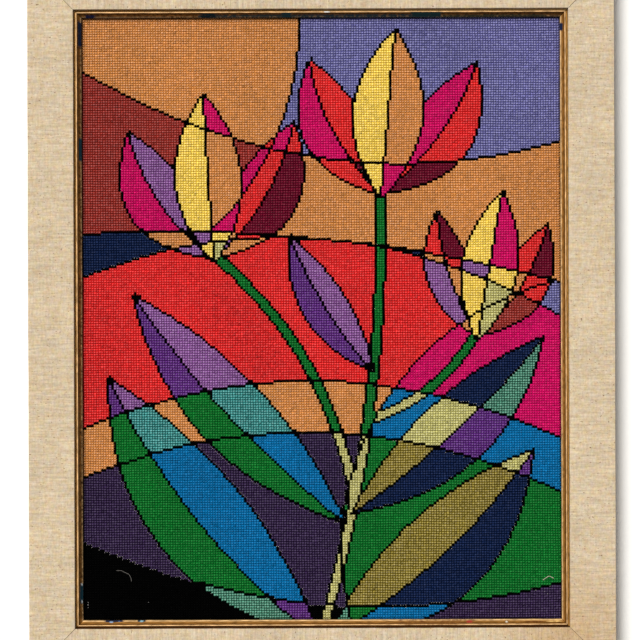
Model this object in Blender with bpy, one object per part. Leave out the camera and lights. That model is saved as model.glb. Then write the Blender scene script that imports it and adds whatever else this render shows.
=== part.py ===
"""A needlepoint canvas panel in its frame: worked canvas, gilt fillet and linen-covered wooden liner.

The frame lies on its back: +X is the picture's right, +Y its top and +Z out of its face. The origin is the
middle of the back, level with the backs of the rails. Every rail is one section, drawn as (out, up): the
distance outwards from the sight edge, which is the inner edge of the fillet, and the height above the back.
"""

import math

import bmesh
import bpy
from mathutils import Vector

MM = 0.001
INCH = 25.4 * MM

# The needlework. A 16 x 20 inch panel on a canvas of 12 threads to the inch, a little tighter up and down.
PANEL_WIDTH = 16 * INCH
PANEL_HEIGHT = 20 * INCH
UNWORKED_MARGIN = 3.5 * MM
CANVAS_THICK = 2.2 * MM
CANVAS_EDGE_ROUND = 0.5 * MM

# The fillet covers this much of the worked panel at the left and right, and this much at the top and bottom.
SIDE_OVERLAP = 3.6 * MM
END_OVERLAP = 2.8 * MM
SIGHT_WIDTH = PANEL_WIDTH - 2 * SIDE_OVERLAP
SIGHT_HEIGHT = PANEL_HEIGHT - 2 * END_OVERLAP

# Clearance between neighbouring pieces, and how far each mitred end is cut back to leave it.
CLEAR = 0.3 * MM
MITRE_CUT = CLEAR / 2 * math.sqrt(2)

# Widths, outwards from the sight edge.
FILLET_FACE = 5.9 * MM
LINEN_THICK = 1.0 * MM
LINER_FACE = 38.0 * MM
REBATE_WIDTH = 6.4 * MM

LINEN_IN = FILLET_FACE + CLEAR
WOOD_IN = LINEN_IN + LINEN_THICK + CLEAR
REBATE_OUT = WOOD_IN + REBATE_WIDTH
LINEN_OUT = LINEN_IN + LINER_FACE
WOOD_OUT = LINEN_OUT - LINEN_THICK - CLEAR

# Heights above the back. The canvas lies under the fillet's tongue, and the tongue under the rail's lip.
REBATE_DEPTH = 12.0 * MM
WOOD_TOP = 17.0 * MM
LINEN_TOP = WOOD_TOP + CLEAR + LINEN_THICK
LINEN_FOOT = 1.0 * MM
TONGUE_THICK = 2.0 * MM
TONGUE_TOP = REBATE_DEPTH - CLEAR
FILLET_BACK = TONGUE_TOP - TONGUE_THICK
CANVAS_TOP = FILLET_BACK - CLEAR
CANVAS_BACK = CANVAS_TOP - CANVAS_THICK

# The fillet's face, from the sight edge outwards: a lip, a slope, a quirk, a bead and an outer groove. The
# lip's rounding ends LIP_ROUND_END degrees round, and the bead goes on BEAD_DIP degrees below its middle.
LIP_HEIGHT = 2.5 * MM
LIP_ROUND = 0.7 * MM
LIP_ROUND_END = 105
SLOPE_END = 2.7 * MM
SLOPE_TOP = FILLET_BACK + 5.0 * MM
QUIRK_WIDTH = 0.4 * MM
QUIRK_DEPTH = 0.3 * MM
BEAD_RADIUS = 0.7 * MM
BEAD_OUT = SLOPE_END + QUIRK_WIDTH + BEAD_RADIUS
BEAD_UP = FILLET_BACK + 5.5 * MM
BEAD_DIP = 20
GROOVE_FLOOR = FILLET_BACK + 4.6 * MM

# Rounding of the rail's two upper edges, and of the face of the cloth that is pulled tight over them.
WOOD_ROUND = 0.5 * MM
LINEN_ROUND = 0.4 * MM

# Straight steps in each rounding, and the angle in degrees past which an edge is shaded sharp.
ARC_STEPS = 5
SHARP_ANGLE = 35


def arc(centre, radius, start, end, steps):
    """Points on an arc from start to end, in degrees anticlockwise from the outward direction."""
    points = []
    for step in range(steps + 1):
        angle = math.radians(start + (end - start) * step / steps)
        points.append((centre[0] + radius * math.cos(angle), centre[1] + radius * math.sin(angle)))
    return points


def fillet_section():
    """Closed outline of the fillet: its face, and the flat tongue that the rail's lip holds."""
    lip = arc((LIP_ROUND, FILLET_BACK + LIP_HEIGHT - LIP_ROUND), LIP_ROUND, 180, LIP_ROUND_END, ARC_STEPS)
    bead = arc((BEAD_OUT, BEAD_UP), BEAD_RADIUS, 180 + BEAD_DIP, -BEAD_DIP, 2 * ARC_STEPS)
    return [
        (0.0, FILLET_BACK),
        *lip,
        (SLOPE_END, SLOPE_TOP),
        (SLOPE_END + QUIRK_WIDTH / 2, SLOPE_TOP - QUIRK_DEPTH),
        *bead,
        (BEAD_OUT + BEAD_RADIUS, GROOVE_FLOOR),
        (FILLET_FACE, GROOVE_FLOOR),
        (FILLET_FACE, TONGUE_TOP),
        (REBATE_OUT - CLEAR, TONGUE_TOP),
        (REBATE_OUT - CLEAR, FILLET_BACK),
    ]


def rounded_top(inner, outer, top, radius):
    """The upper outline of a rail from its inner edge to its outer one, both edges rounded."""
    return [
        *arc((inner + radius, top - radius), radius, 180, 90, ARC_STEPS),
        *arc((outer - radius, top - radius), radius, 90, 0, ARC_STEPS),
    ]


def rail_section():
    """Closed outline of the wooden rail: full height outside, with a rebate cut from its inner back."""
    return [
        (WOOD_IN, REBATE_DEPTH),
        *rounded_top(WOOD_IN, WOOD_OUT, WOOD_TOP, WOOD_ROUND),
        (WOOD_OUT, 0.0),
        (REBATE_OUT, 0.0),
        (REBATE_OUT, REBATE_DEPTH),
    ]


def linen_section():
    """Closed outline of the cloth: down the lip's edge, over the face and down the outer side."""
    outside = [
        (LINEN_IN, REBATE_DEPTH),
        *rounded_top(LINEN_IN, LINEN_OUT, LINEN_TOP, LINEN_ROUND),
        (LINEN_OUT, LINEN_FOOT),
    ]
    inside = [
        (LINEN_IN + LINEN_THICK, REBATE_DEPTH),
        *rounded_top(
            LINEN_IN + LINEN_THICK, LINEN_OUT - LINEN_THICK, LINEN_TOP - LINEN_THICK, WOOD_ROUND + CLEAR
        ),
        (LINEN_OUT - LINEN_THICK, LINEN_FOOT),
    ]
    return outside + inside[::-1]


def painted(name, colour, roughness, metallic=0.0):
    """A material with one Principled shader."""
    material = bpy.data.materials.new(name)
    material.use_nodes = True
    shader = material.node_tree.nodes["Principled BSDF"]
    shader.inputs["Base Color"].default_value = (*colour, 1.0)
    shader.inputs["Roughness"].default_value = roughness
    shader.inputs["Metallic"].default_value = metallic
    return material


def add_object(name, mesh_builder, material):
    """Turns a finished bmesh into a named object at the origin."""
    bmesh.ops.recalc_face_normals(mesh_builder, faces=mesh_builder.faces)
    mesh = bpy.data.meshes.new(name)
    mesh_builder.to_mesh(mesh)
    mesh_builder.free()
    mesh.materials.append(material)
    mesh.shade_smooth()
    mesh.set_sharp_from_angle(angle=math.radians(SHARP_ANGLE))
    thing = bpy.data.objects.new(name, mesh)
    bpy.context.scene.collection.objects.link(thing)
    return thing


def mitred_length(section, sight_length):
    """A section extruded along the rail, with both ends cut at 45 degrees, so that it is longer outside."""
    work = bmesh.new()
    profile = [work.verts.new((0.0, out, up)) for out, up in section]
    end = work.faces.new(profile)
    grown = bmesh.ops.extrude_face_region(work, geom=[end], use_keep_orig=True)
    far = [part for part in grown["geom"] if isinstance(part, bmesh.types.BMVert)]
    for vertex in profile:
        vertex.co.x = -(sight_length / 2 + vertex.co.y - MITRE_CUT)
    for vertex in far:
        vertex.co.x = sight_length / 2 + vertex.co.y - MITRE_CUT
    return work


# One row for each side of the frame: its name, the turn from the top rail, the sight length along the rail
# and the distance from the middle to the sight edge.
SIDES = (
    ("top", 0, SIGHT_WIDTH, SIGHT_HEIGHT / 2),
    ("left", 90, SIGHT_HEIGHT, SIGHT_WIDTH / 2),
    ("bottom", 180, SIGHT_WIDTH, SIGHT_HEIGHT / 2),
    ("right", 270, SIGHT_HEIGHT, SIGHT_WIDTH / 2),
)


def frame_lengths(part_name, section, material):
    """The four mitred lengths of one section, each placed at its sight edge and turned to its side."""
    for side, turn, sight_length, reach in SIDES:
        length = add_object(f"{part_name}_{side}", mitred_length(section, sight_length), material)
        angle = math.radians(turn)
        length.rotation_euler.z = angle
        length.location = Vector((-math.sin(angle), math.cos(angle), 0.0)) * reach


def worked_canvas(material):
    """The canvas with its stitches as one flat sheet, its cut edges softly rounded."""
    work = bmesh.new()
    bmesh.ops.create_cube(work, size=1.0)
    size = (PANEL_WIDTH + 2 * UNWORKED_MARGIN, PANEL_HEIGHT + 2 * UNWORKED_MARGIN, CANVAS_THICK)
    bmesh.ops.scale(work, vec=size, verts=work.verts)
    bmesh.ops.bevel(
        work,
        geom=work.edges[:],
        offset=CANVAS_EDGE_ROUND,
        offset_type="OFFSET",
        segments=2,
        profile=0.5,
        affect="EDGES",
    )
    canvas = add_object("needlepoint_canvas", work, material)
    canvas.location.z = (CANVAS_TOP + CANVAS_BACK) / 2


def build():
    """Clears the scene and models the framed panel."""
    for thing in list(bpy.data.objects):
        bpy.data.objects.remove(thing)
    wool = painted("dyed_wool_tent_stitch", (0.50, 0.08, 0.08), 0.9)
    gilt = painted("antiqued_gilt", (0.42, 0.24, 0.08), 0.4, 0.6)
    linen = painted("natural_linen", (0.70, 0.57, 0.38), 0.9)
    pine = painted("raw_pine", (0.62, 0.44, 0.25), 0.7)
    worked_canvas(wool)
    frame_lengths("fillet", fillet_section(), gilt)
    frame_lengths("linen", linen_section(), linen)
    frame_lengths("rail", rail_section(), pine)


build()
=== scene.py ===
"""The looks of a needlepoint canvas panel, held flat behind a gilt fillet in a linen-covered wooden liner.

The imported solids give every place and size. The worked canvas is made stitch by stitch from a chart, the
fillet and the linen are finer copies of their solids, and the wooden rails keep their solids. Distances in
the tables are in millimetres from the middle of the panel, and counts are in stitches from its lower left.
"""

import math

import bmesh
import bpy
import numpy as np
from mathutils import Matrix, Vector, noise


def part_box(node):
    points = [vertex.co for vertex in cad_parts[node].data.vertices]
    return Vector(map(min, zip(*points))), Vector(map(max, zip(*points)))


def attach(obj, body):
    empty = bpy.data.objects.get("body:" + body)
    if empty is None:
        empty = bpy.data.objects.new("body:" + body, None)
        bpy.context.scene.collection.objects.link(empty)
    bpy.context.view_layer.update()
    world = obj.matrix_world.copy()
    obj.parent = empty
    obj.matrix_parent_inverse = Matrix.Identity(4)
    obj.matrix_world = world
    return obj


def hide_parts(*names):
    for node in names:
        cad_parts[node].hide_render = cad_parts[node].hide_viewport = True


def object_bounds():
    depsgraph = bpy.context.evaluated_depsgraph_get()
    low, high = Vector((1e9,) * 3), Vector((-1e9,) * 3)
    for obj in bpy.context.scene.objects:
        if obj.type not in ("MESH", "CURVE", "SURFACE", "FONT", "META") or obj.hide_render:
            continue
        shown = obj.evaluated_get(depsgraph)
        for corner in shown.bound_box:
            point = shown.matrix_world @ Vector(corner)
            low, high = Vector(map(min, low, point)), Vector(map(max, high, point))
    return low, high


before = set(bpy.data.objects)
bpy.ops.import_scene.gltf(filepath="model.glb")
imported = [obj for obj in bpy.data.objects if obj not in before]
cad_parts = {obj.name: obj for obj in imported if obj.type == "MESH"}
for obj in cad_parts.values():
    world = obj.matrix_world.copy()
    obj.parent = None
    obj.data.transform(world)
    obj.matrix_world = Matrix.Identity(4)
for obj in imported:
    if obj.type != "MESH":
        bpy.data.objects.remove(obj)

CAD_LOW, CAD_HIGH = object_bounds()

MM = 0.001

# ---- Sizes ----

# The worked panel: 12 stitches to the inch, a little tighter up and down, with bare canvas round it.
COLUMNS = 192
ROWS = 248
MARGIN = 3.5 * MM
CANVAS_LOW, CANVAS_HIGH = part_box("needlepoint_canvas")
CANVAS_SIZE = CANVAS_HIGH - CANVAS_LOW
PITCH_ACROSS = (CANVAS_SIZE.x - 2 * MARGIN) / COLUMNS
PITCH_UP = (CANVAS_SIZE.y - 2 * MARGIN) / ROWS

# The yarn: how wide one stitch lies, how far its crown stands over the canvas, and how uneven it is.
YARN_WIDTH = 2.05 * MM
CROWN = 0.6 * MM
GROUND_TOP = CANVAS_HIGH.z - CROWN
UNEVEN = 0.22
STITCH_SEED = 20

# How far the canvas threads have drifted from a true square, over how long a wave, and each hole by itself.
DRIFT = 0.28 * MM
DRIFT_SPAN = (45 * MM, 150 * MM)
DRIFT_WAVES = 7
DRIFT_SEEDS = (1, 2)
HOLE_JITTER = 0.1 * MM

# No two stitches lie quite alike: how far one is turned from the line between its holes, in degrees.
LEAN_SPREAD = 8

# Lightness of the yarn: its change from one stitch to the next, from one row or column of the canvas to the
# next, and slowly through the skein.
TONE_STITCH = 0.11
TONE_LINE = 0.02
TONE_SKEIN = 0.045
SKEIN_SEED = 3

# How much the painted sheen on the crowns varies from one stitch to the next.
SHEEN_SPREAD = 0.2

# Painted shade on the wool at the sight edge, under the fillet's lip: how dark, and how wide.
SIGHT_EDGE_SHADE = 0.88
SIGHT_EDGE_SHADE_WIDTH = 0.9 * MM

# The sight edge, the fillet's back, and how far its face reaches outwards from the sight edge.
SIGHT_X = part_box("fillet_right")[0].x
SIGHT_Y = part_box("fillet_top")[0].y
FILLET_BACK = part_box("fillet_top")[0].z
FILLET_FACE = 5.9 * MM

# Turn of each rail of the frame from the top one, in degrees.
SIDES = {"top": 0, "left": 90, "bottom": 180, "right": 270}

# The photograph: its width in pixels, the size of a pixel on the canvas, the pixel at the panel's middle,
# and how far the panel is turned in it, in degrees.
PHOTO_PIXELS = 640
PHOTO_SCALE = 0.835 * MM
PHOTO_MIDDLE = (321.6, 318.5)
PHOTO_TURN = 0.2

# The camera's height over the canvas in metres, and the width of its sensor in millimetres.
CAMERA_RISE = 1.7
SENSOR = 36.0


def srgb(code):
    """The linear colour, with alpha, of an sRGB hex value."""
    levels = [int(code[at : at + 2], 16) / 255 for at in (0, 2, 4)]
    return (*(c / 12.92 if c <= 0.04045 else ((c + 0.055) / 1.055) ** 2.4 for c in levels), 1.0)


def feed(tree, made, inputs):
    """Sets a node's inputs, by name or number, each to a value, an output or another node's first output."""
    for key, value in inputs.items():
        if isinstance(value, bpy.types.Node):
            value = value.outputs[0]
        if isinstance(value, bpy.types.NodeSocket):
            tree.links.new(value, made.inputs[key])
        else:
            made.inputs[key].default_value = value


def node(tree, kind, inputs=None, **settings):
    """Adds a node with its settings and links."""
    made = tree.nodes.new(kind)
    for name, value in settings.items():
        setattr(made, name, value)
    feed(tree, made, inputs or {})
    return made


def link(thing):
    """Puts an object in the scene."""
    bpy.context.scene.collection.objects.link(thing)
    return thing


# ---- The chart: generic tulips and leaves, counterchanged over sweeping bands of colour ----

# Every yarn: its colour as dyed, the painted sheen on its crown as a share of white, and its painted shade
# in the gaps between the stitches, as a share of its lightness on top.
YARNS = {
    "tan": ("C8823C", 0.15, 1),
    "lavender": ("6664A0", 0.17, 0.65),
    "navy": ("0C2048", 0.022, 0.4),
    "red": ("DA2020", 0.07, 0.85),
    "magenta": ("C2045C", 0.03, 1.1),
    "claret": ("680224", 0.03, 0.8),
    "rust": ("96281E", 0.08, 0.75),
    "purple": ("5C227C", 0.085, 0.7),
    "orchid": ("885096", 0.15, 0.65),
    "green": ("046E26", 0.028, 0.8),
    "blue": ("026AA0", 0.022, 1),
    "teal": ("349490", 0.14, 0.35),
    "seagreen": ("489076", 0.14, 0.25),
    "yellow": ("ECCA4A", 0.2, 0.9),
    "lime": ("BAB468", 0.2, 0.8),
    "olive": ("907E22", 0.13, 0.4),
    "plum": ("342048", 0.05, 0.35),
    "black": ("010101", 0.002, 0.9),
}
NAMES = list(YARNS)

# Two great circles that sweep across the ground: middle across, middle up, radius.
SWEEPS = ((216, 30, 112), (-30, 244, 118))

# The bands of the ground, the highest first. Columns: the yarn outside both sweeps, in the first and in the
# second; the level of the band's upper edge at the left and at the right; its rise between them.
BANDS = (
    (("lavender", "lavender", "tan"), 300, 300, 0),
    (("tan", "tan", "rust"), 226, 196, -22),
    (("navy", "lavender", "navy"), 158, 138, 8),
    (("red", "magenta", "red"), 140, 124, 24),
    (("tan", "blue", "tan"), 78, 74, 22),
    (("plum", "green", "plum"), 58, 52, 22),
    (("black", "plum", "black"), 34, 16, -18),
)

# Counterchange: the yarns of the two halves of a leaf, a petal and a flower's heart on each ground.
COUNTERCHANGE = {
    "lavender": {"leaf": ("seagreen", "green"), "petal": ("magenta", "red"), "heart": ("yellow", "tan")},
    "tan": {"leaf": ("green", "teal"), "petal": ("red", "claret"), "heart": ("yellow", "magenta")},
    "navy": {"leaf": ("lime", "seagreen"), "petal": ("tan", "red"), "heart": ("orchid", "yellow")},
    "red": {"leaf": ("purple", "orchid"), "petal": ("orchid", "tan"), "heart": ("yellow", "lime")},
    "magenta": {"leaf": ("navy", "seagreen"), "petal": ("tan", "rust"), "heart": ("yellow", "lime")},
    "rust": {"leaf": ("teal", "lime"), "petal": ("magenta", "orchid"), "heart": ("yellow", "tan")},
    "blue": {"leaf": ("lime", "purple"), "petal": ("yellow", "red"), "heart": ("tan", "orchid")},
    "plum": {"leaf": ("green", "blue"), "petal": ("red", "magenta"), "heart": ("tan", "yellow")},
    "green": {"leaf": ("olive", "navy"), "petal": ("rust", "tan"), "heart": ("yellow", "lime")},
    "black": {"leaf": ("seagreen", "purple"), "petal": ("red", "rust"), "heart": ("tan", "yellow")},
}

# Stems: foot across and up, tip across and up, bend. They are green, and lime where they cross dark grounds.
STEMS = ((96, -4, 120, 176, -7), (109, 52, 54, 150, -10), (115, 82, 158, 118, -5))
STEM_HALF = 1.9
DARK_GROUNDS = ("navy", "plum", "black", "green", "blue")

# Leaves, petals and hearts, the lowest first. Columns: kind; foot across and up; tip across and up; bulge to
# the left and to the right of the line from foot to tip; bend of the rib that parts the two halves.
BLADES = (
    ("leaf", 96, -8, 12, 100, 26, 12, 8),
    ("leaf", 98, -8, 180, 70, 12, 24, -6),
    ("leaf", 106, 40, 22, 134, 18, 11, 5),
    ("leaf", 108, 44, 184, 116, 10, 18, -4),
    ("leaf", 117, 102, 84, 158, 12, 6, 3),
    ("petal", 54, 148, 20, 200, 18, 8, 5),
    ("petal", 54, 148, 86, 204, 8, 18, -5),
    ("heart", 54, 146, 50, 216, 13, 13, 0),
    ("petal", 120, 174, 92, 230, 17, 8, 5),
    ("petal", 120, 174, 158, 228, 8, 18, -5),
    ("heart", 120, 172, 126, 242, 14, 14, 0),
    ("petal", 158, 116, 142, 168, 12, 6, 3),
    ("petal", 158, 116, 186, 162, 6, 14, -4),
    ("heart", 158, 114, 168, 176, 11, 11, 0),
)

# Yarns so dark that no outline is worked between them.
DARK_YARNS = ("navy", "plum", "black")

# A patch's number is its shape's, times this, plus its ground's, doubled, plus its half's.
PATCHES_A_SHAPE = 2 * len(YARNS)


def numbers(names):
    """The numbers of some yarns."""
    return [NAMES.index(name) for name in names]


def arched(share):
    """A low arch over a line: nought at its ends and one at its middle."""
    return np.where((share > 0) & (share < 1), 4 * share * (1 - share), 0)


def beside(across, up, foot_across, foot_up, tip_across, tip_up):
    """Each stitch's share of the way from foot to tip, and how far it lies to the left of that line."""
    run_across = tip_across - foot_across
    run_up = tip_up - foot_up
    length = math.hypot(run_across, run_up)
    share = ((across - foot_across) * run_across + (up - foot_up) * run_up) / length**2
    left = ((up - foot_up) * run_across - (across - foot_across) * run_up) / length
    return share, left


def ground_chart(across, up):
    """The yarn of every stitch of the ground, before the flowers."""
    sweep = np.zeros(across.shape, int)
    for number, (middle_across, middle_up, radius) in enumerate(SWEEPS, start=1):
        sweep[np.hypot(across - middle_across, up - middle_up) < radius] = number
    ground = np.zeros(across.shape, int)
    share = across / COLUMNS
    for yarns, at_left, at_right, rise in BANDS:
        edge = at_left + (at_right - at_left) * share + rise * arched(share)
        for number, name in enumerate(yarns):
            ground[(up < edge) & (sweep == number)] = NAMES.index(name)
    return ground


def add_flowers(across, up, ground):
    """The yarn and the patch of every stitch, with the stems, leaves and flowers over the ground."""
    yarn = ground.copy()
    patch = 2 * ground
    dark = np.isin(ground, numbers(DARK_GROUNDS))
    for *line, bend in STEMS:
        share, left = beside(across, up, *line)
        inside = (share > 0) & (share < 1) & (abs(left - bend * arched(share)) < STEM_HALF)
        yarn[inside] = np.where(dark[inside], NAMES.index("lime"), NAMES.index("green"))
        patch[inside] = PATCHES_A_SHAPE + 2 * ground[inside]
    for shape, (kind, *line, bulge_left, bulge_right, bend) in enumerate(BLADES, start=2):
        share, left = beside(across, up, *line)
        arch = arched(share)
        inside = (left < bulge_left * arch) & (left > -bulge_right * arch)
        for name, pairs in COUNTERCHANGE.items():
            for half, side in enumerate((left > bend * arch, left <= bend * arch)):
                here = inside & side & (ground == NAMES.index(name))
                yarn[here] = NAMES.index(pairs[kind][half])
                patch[here] = PATCHES_A_SHAPE * shape + 2 * NAMES.index(name) + half
    return yarn, patch


def shifted(chart, columns, rows):
    """The chart moved right and up by some stitches, its edge repeated where it leaves a gap."""
    padded = np.pad(chart, 1, mode="edge")
    return padded[1 - rows : 1 - rows + ROWS, 1 - columns : 1 - columns + COLUMNS]


def add_outlines(yarn, patch):
    """Works a black line, one stitch wide, where two patches meet, and thins its corners."""
    line = (patch != shifted(patch, -1, 0)) | (patch != shifted(patch, 0, 1))
    around = (yarn, shifted(yarn, -1, 0), shifted(yarn, 0, 1))
    line &= ~np.logical_and.reduce([np.isin(chart, numbers(DARK_YARNS)) for chart in around])
    inner = np.zeros(line.shape, bool)
    inner[1:-1, 1:-1] = True
    for columns in (-1, 1):
        for rows in (-1, 1):
            arms = shifted(line, -columns, 0) & shifted(line, 0, -rows)
            filled = shifted(line, columns, 0) | shifted(line, 0, rows) | shifted(line, -columns, -rows)
            outside = shifted(patch, columns, 0)
            corner = line & arms & ~filled & (outside == shifted(patch, 0, rows)) & inner
            yarn[corner] = shifted(yarn, columns, 0)[corner]
            patch[corner] = outside[corner]
            line[corner] = False
    yarn[line] = NAMES.index("black")
    return line


def chart():
    """The yarn of every stitch, row by row from the bottom, and which stitches are outlines."""
    up, across = np.mgrid[0:ROWS, 0:COLUMNS] + 0.5
    yarn, patch = add_flowers(across, up, ground_chart(across, up))
    line = add_outlines(yarn, patch)
    return yarn, line


# ---- The worked canvas ----


def waves(x, y, seed):
    """A smooth field of about minus one to one: a few long waves that cross each other."""
    random = np.random.default_rng(seed)
    field = np.zeros(x.shape)
    for _ in range(DRIFT_WAVES):
        heading, phase = random.uniform(0, math.tau, 2)
        span = random.uniform(*DRIFT_SPAN)
        field += np.sin((x * math.cos(heading) + y * math.sin(heading)) * math.tau / span + phase)
    return field / math.sqrt(DRIFT_WAVES)


def hole_places():
    """The x and y of every hole that the yarn passes through, with the drift of the canvas threads."""
    row, column = np.mgrid[0 : ROWS + 1, 0 : COLUMNS + 1]
    x = (column - COLUMNS / 2) * PITCH_ACROSS
    y = (row - ROWS / 2) * PITCH_UP
    random = np.random.default_rng(STITCH_SEED)
    jitter = random.normal(0, HOLE_JITTER, (2, *x.shape))
    drift_x, drift_y = (DRIFT * waves(x, y, seed) + own for seed, own in zip(DRIFT_SEEDS, jitter))
    return x + drift_x, y + drift_y


def grain():
    """One stitch's yarn, a unit long, wide and high: a closed plump grain whose ends dip into the canvas.

    Its ridge follows the twist of the yarn, which lies level on a slanted stitch, so that the rows show.
    Its "crown" is one on the ridge and nought at the foot, where the yarn lies deep between its neighbours.
    """
    ridge_along = 0.115
    ridge_beside = 0.125
    flank = 0.21
    dip = -0.2
    foot = -0.05
    places = (
        (-0.5, 0.0, dip),
        (0.5, 0.0, dip),
        (-ridge_along, ridge_beside, 1.0),
        (ridge_along, -ridge_beside, 1.0),
        (-flank, 0.5, foot),
        (flank, 0.5, foot),
        (-flank, -0.5, foot),
        (flank, -0.5, foot),
    )
    faces = (
        (0, 2, 4),
        (2, 5, 4),
        (2, 3, 5),
        (3, 1, 5),
        (0, 6, 2),
        (2, 6, 3),
        (6, 7, 3),
        (3, 7, 1),
        (0, 4, 5, 1, 7, 6),
    )
    mesh = bpy.data.meshes.new("grain")
    mesh.from_pydata(places, [], faces)
    crown = [float(z > 0) for x, y, z in places]
    mesh.attributes.new("crown", "FLOAT", "POINT").data.foreach_set("value", crown)
    mesh.shade_smooth()
    return link(bpy.data.objects.new("grain", mesh))


def new_tree(name, sockets):
    """A Geometry Nodes tree with named inputs; returns it, its inputs and its way out."""
    tree = bpy.data.node_groups.new(name, "GeometryNodeTree")
    tree.is_modifier = True
    for label, kind in (("Geometry", "Geometry"), *sockets):
        tree.interface.new_socket(name=label, in_out="INPUT", socket_type=f"NodeSocket{kind}")
    tree.interface.new_socket(name="Geometry", in_out="OUTPUT", socket_type="NodeSocketGeometry")
    return tree, node(tree, "NodeGroupInput").outputs, node(tree, "NodeGroupOutput")


def with_flat_map(tree, shape):
    """A shape with a map of its own, seen from above, because the two sides of a stitch have one colour."""
    box = node(tree, "GeometryNodeBoundBox", {"Geometry": shape}).outputs
    place = node(tree, "GeometryNodeInputPosition")
    seen = {"Vector": place, "From Min": box["Min"], "From Max": box["Max"]}
    flat = node(tree, "ShaderNodeMapRange", seen, data_type="FLOAT_VECTOR").outputs["Vector"]
    stored = {"Geometry": shape, "Name": "OFBake", "Value": flat}
    return node(tree, "GeometryNodeStoreNamedAttribute", stored, data_type="FLOAT2", domain="CORNER")


def stitch_tree():
    """Lays a grain of yarn on every point, as long and as turned as the point's "reach" and "turn" say.

    Width and height vary from stitch to stitch by the share Unevenness.
    """
    sockets = (
        ("Grain", "Object"),
        ("Yarn", "Material"),
        ("Width", "Float"),
        ("Height", "Float"),
        ("Unevenness", "Float"),
        ("Seed", "Int"),
    )
    tree, given, out = new_tree("laid_stitches", sockets)
    reach, turn = (
        node(tree, "GeometryNodeInputNamedAttribute", {"Name": name}, data_type="FLOAT")
        for name in ("reach", "turn")
    )
    low, high = (
        node(tree, "ShaderNodeMath", {0: 1.0, 1: given["Unevenness"]}, operation=operation)
        for operation in ("SUBTRACT", "ADD")
    )
    sizes = []
    for number, size in enumerate(("Width", "Height")):
        seed = node(tree, "ShaderNodeMath", {0: given["Seed"], 1: float(number)}, operation="ADD")
        chance = node(tree, "FunctionNodeRandomValue", {2: low, 3: high, "Seed": seed}, data_type="FLOAT")
        varied = {0: given[size], 1: chance.outputs[1]}
        sizes.append(node(tree, "ShaderNodeMath", varied, operation="MULTIPLY"))
    yarn = node(tree, "GeometryNodeObjectInfo", {"Object": given["Grain"]}, transform_space="ORIGINAL")
    laying = {
        "Points": given["Geometry"],
        "Instance": yarn.outputs["Geometry"],
        "Rotation": node(tree, "ShaderNodeCombineXYZ", {2: turn}),
        "Scale": node(tree, "ShaderNodeCombineXYZ", {0: reach, 1: sizes[0], 2: sizes[1]}),
    }
    laid = node(tree, "GeometryNodeInstanceOnPoints", laying)
    real = node(tree, "GeometryNodeRealizeInstances", {"Geometry": laid})
    mapped = with_flat_map(tree, real)
    dyed = node(tree, "GeometryNodeSetMaterial", {"Geometry": mapped, "Material": given["Yarn"]})
    feed(tree, out, {0: dyed})
    return tree


# How many sides a loose strand has.
STRAND_SIDES = 5


def strand_tree():
    """Turns every line of a mesh into a thin closed strand that bends smoothly."""
    tree, given, out = new_tree("spun_strands", (("Radius", "Float"), ("Fibre", "Material")))
    line = node(tree, "GeometryNodeMeshToCurve", {"Mesh": given["Geometry"]})
    curve = node(tree, "GeometryNodeCurveSplineType", {"Curve": line}, spline_type="CATMULL_ROM")
    size = {"Resolution": STRAND_SIDES, "Radius": given["Radius"]}
    ring = node(tree, "GeometryNodeCurvePrimitiveCircle", size)
    tube = node(tree, "GeometryNodeCurveToMesh", {"Curve": curve, "Profile Curve": ring, "Fill Caps": True})
    smooth = node(tree, "GeometryNodeSetShadeSmooth", {"Geometry": tube})
    dyed = node(tree, "GeometryNodeSetMaterial", {"Geometry": smooth, "Material": given["Fibre"]})
    feed(tree, out, {0: dyed})
    return tree


def point_mesh(name, points, edges=(), **values):
    """A mesh of bare points, and lines between them, with a number on each point for every named value."""
    mesh = bpy.data.meshes.new(name)
    mesh.from_pydata([tuple(point) for point in points], list(edges), [])
    for label, numbers_at_points in values.items():
        mesh.attributes.new(label, "FLOAT", "POINT").data.foreach_set("value", numbers_at_points)
    return mesh


def grow(mesh, tree, **values):
    """A piece of wool or fibre grown from a mesh by a Geometry Nodes tree, with the mesh's name."""
    name = mesh.name
    piece = link(bpy.data.objects.new(name, mesh))
    modifier = piece.modifiers.new("growth", "NODES")
    modifier.node_group = tree
    for item in tree.interface.items_tree:
        if item.in_out == "INPUT" and item.name in values:
            modifier[item.identifier] = values[item.name]
    depsgraph = bpy.context.evaluated_depsgraph_get()
    grown = bpy.data.meshes.new_from_object(
        piece.evaluated_get(depsgraph), preserve_all_data_layers=True, depsgraph=depsgraph
    )
    piece.modifiers.clear()
    piece.data = grown
    bpy.data.meshes.remove(mesh)
    grown.name = name
    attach(piece, "root")
    return piece


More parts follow.
